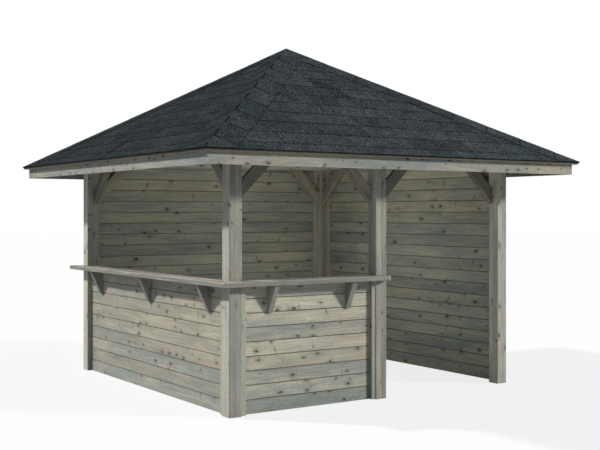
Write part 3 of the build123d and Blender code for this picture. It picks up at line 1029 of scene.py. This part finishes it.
def shingle_slope(side, seed):
    """An underlay and the courses of tabs on it, sawn to one slope."""
    chance = random.Random(seed)
    mesh = bmesh.new()
    butts = [FIRST_BUTT]
    while butts[-1] < slope_length:
        butts.append(SECOND_BUTT + EXPOSURE * (len(butts) - 1))

    def underlay(right, up, top):
        return Vector(((2 * right - 1) * shingle_edge, up * slope_length,
                       FELT_BASE + top * UNDERLAY))

    felt_block(mesh, underlay)
    for course, butt in enumerate(butts[:-1]):
        lay_course(mesh, chance, butt, butts[course + 1] + OVERLAP, ragged=course > 0)
    bmesh.ops.transform(mesh, matrix=on_slope(side), verts=mesh.verts)
    trim_to_slope(mesh, side, shingle_edge)
    write_felt(mesh, side, butts, chance)
    return make_piece(mesh, f"{side}_shingle_courses", "shingle", granules, f"{side}_shingles")


for number, side in enumerate(SIDES):
    shingle_slope(side, 91 + number)

# %% [markdown]
# Each hip is closed with single shingles folded over it, laid from the eave to the peak so
# that each covers the head of the one below. A cap piece is a strip of five points across,
# lifted onto the two slopes, and solidify gives it its thickness. A small four-sided cap of
# the same felt ends them at the peak. It is a square that poke divides into four triangles,
# with its middle raised.

# %% Hip cap shapes
CAP_HALF_WIDTH = 0.19           # seen from above
CAP_STEP = 0.224                # from butt to butt, measured out from the middle
LAST_BUTT = 2.075
CAP_LAP = 0.05
CAP_THICKNESS = 0.002
CAP_BASE = 0.026
CAP_LIFT = 0.0018
FOLD = 0.006                    # half the width of the folded strip
FOLD_SAG = 0.001
SLIT = 0.11                     # how far a crack runs up the fold from the butt
PEAK_REACH = 0.19
PEAK_RIM = 0.028                # underside of the rim, above the rafters
PEAK_THICKNESS = 0.002
PEAK_SPARE = 0.0002             # keeps the peak below the top of the CAD box


def plumb(height):
    """An upright height for a thickness measured square to the slope."""
    return height / cos(PITCH)


def thicken(mesh, faces, thickness):
    """Turn open faces upwards and grow a thickness on top of them."""
    bmesh.ops.recalc_face_normals(mesh, faces=faces)
    if faces[0].normal.z < 0:
        bmesh.ops.reverse_faces(mesh, faces=faces)
    bmesh.ops.solidify(mesh, geom=faces, thickness=-thickness)
    bmesh.ops.recalc_face_normals(mesh, faces=mesh.faces)


def cap_piece(turn, butt):
    """One folded cap from its butt up to its head, on the front left hip before turning."""
    mesh = bmesh.new()
    head = butt - CAP_STEP - CAP_LAP
    rows = []
    for out, lift in ((butt, CAP_LIFT), (butt - SLIT, CAP_LIFT * 0.6), (head, 0.0)):
        row = []
        for offset in (-CAP_HALF_WIDTH, -FOLD, 0, FOLD, CAP_HALF_WIDTH):
            x = -out + offset / sqrt(2)
            y = -out - offset / sqrt(2)
            sag = 0 if offset else FOLD_SAG
            height = rafter_top(max(-x, -y)) + plumb(CAP_BASE + lift) - sag
            row.append(mesh.verts.new((x, y, height)))
        rows.append(row)
    faces = [mesh.faces.new((low[i], low[i + 1], high[i + 1], high[i]))
             for low, high in zip(rows, rows[1:]) for i in range(len(low) - 1)]
    thicken(mesh, faces, CAP_THICKNESS)
    bmesh.ops.rotate(mesh, verts=mesh.verts, cent=(0, 0, 0),
                     matrix=Matrix.Rotation(radians(turn), 3, "Z"))
    return mesh


def peak_cap():
    """The four-sided cap at the peak, over the heads of the last caps."""
    mesh = bmesh.new()
    bmesh.ops.create_grid(mesh, x_segments=1, y_segments=1, size=PEAK_REACH)
    poked = bmesh.ops.poke(mesh, faces=mesh.faces[:])
    rim = rafter_top(PEAK_REACH) + plumb(PEAK_RIM)
    peak = cad_box[1][2] - plumb(PEAK_THICKNESS) - PEAK_SPARE
    bmesh.ops.translate(mesh, verts=mesh.verts, vec=(0, 0, rim))
    bmesh.ops.translate(mesh, verts=poked["verts"], vec=(0, 0, peak - rim))
    thicken(mesh, mesh.faces[:], PEAK_THICKNESS)
    return mesh


print("cap pieces every", CAP_STEP, "m")

# %% [markdown]
# Felt that is folded cold cracks a little, so a dark slit shows along the fold near each
# butt. The slit is not cut: its narrow faces are marked as bare bitumen. Each piece also
# gets the distance below the next butt, or below the peak cap's rim, so that dirt and
# painted shade line the overlaps as they do on the courses. Ends that stand past the eave
# are sawn off.

# %% Hip caps
CAP_TONES = (0.9, 0.95, 1.0, 1.05, 1.1)
EAVE_SPARE = 0.0005
CAP_TOP = 0.7                   # a face that looks up more than this is granules
NO_SHADE_AND_DIRT = 0.1


def joined(parts):
    """One mesh with all the parts in it."""
    whole = bmesh.new()
    for part in parts:
        carrier = bpy.data.meshes.new("cap")
        part.to_mesh(carrier)
        part.free()
        whole.from_mesh(carrier)
        bpy.data.meshes.remove(carrier)
    return whole


def write_cap_felt(mesh, chance):
    """Give every cap its tone and painted shade by the slope that it lies on, its slits,
    and its dirt and painted shade below the next piece.
    """
    tone, bare, below = felt_layers(mesh)
    mesh.normal_update()
    for faces in solids(mesh):
        own = chance.choice(CAP_TONES)
        reach = max(min(abs(vert.co.x), abs(vert.co.y)) for face in faces for vert in face.verts)
        butt = LAST_BUTT - CAP_STEP * round((LAST_BUTT - reach) / CAP_STEP)
        is_peak = reach < PEAK_REACH + 0.01
        under_peak = butt - CAP_STEP < PEAK_REACH
        for face in faces:
            x, y, z = face.normal
            side = (("right" if x > 0 else "left") if abs(x) > abs(y)
                    else ("rear" if y > 0 else "front"))
            middle = face.calc_center_median()
            on_fold = abs(abs(middle.x) - abs(middle.y)) < FOLD * sqrt(2)
            near_butt = (abs(middle.x) + abs(middle.y)) / 2 > butt - SLIT
            face[tone] = own * SLOPE_TONES_WITH_PAINTED_SHADE[side]
            face[bare] = 1.0 if z < CAP_TOP or (on_fold and near_butt) else 0.0
            for loop in face.loops:
                x, y = abs(loop.vert.co.x), abs(loop.vert.co.y)
                gap = max(x, y) - PEAK_REACH if under_peak else (x + y) / 2 - butt + CAP_STEP
                loop[below] = NO_SHADE_AND_DIRT if is_peak else gap


parts = [peak_cap()]
for turn in SIDES.values():
    butt = LAST_BUTT
    while butt > PEAK_REACH:
        parts.append(cap_piece(turn, butt))
        butt -= CAP_STEP
caps = joined(parts)
for way in ((1, 0, 0), (-1, 0, 0), (0, 1, 0), (0, -1, 0)):
    trim(caps, Vector(way) * (shingle_edge - EAVE_SPARE), way)
write_cap_felt(caps, random.Random(95))
make_piece(caps, "hip_cap_pieces", "shingle", granules, "hip_caps")
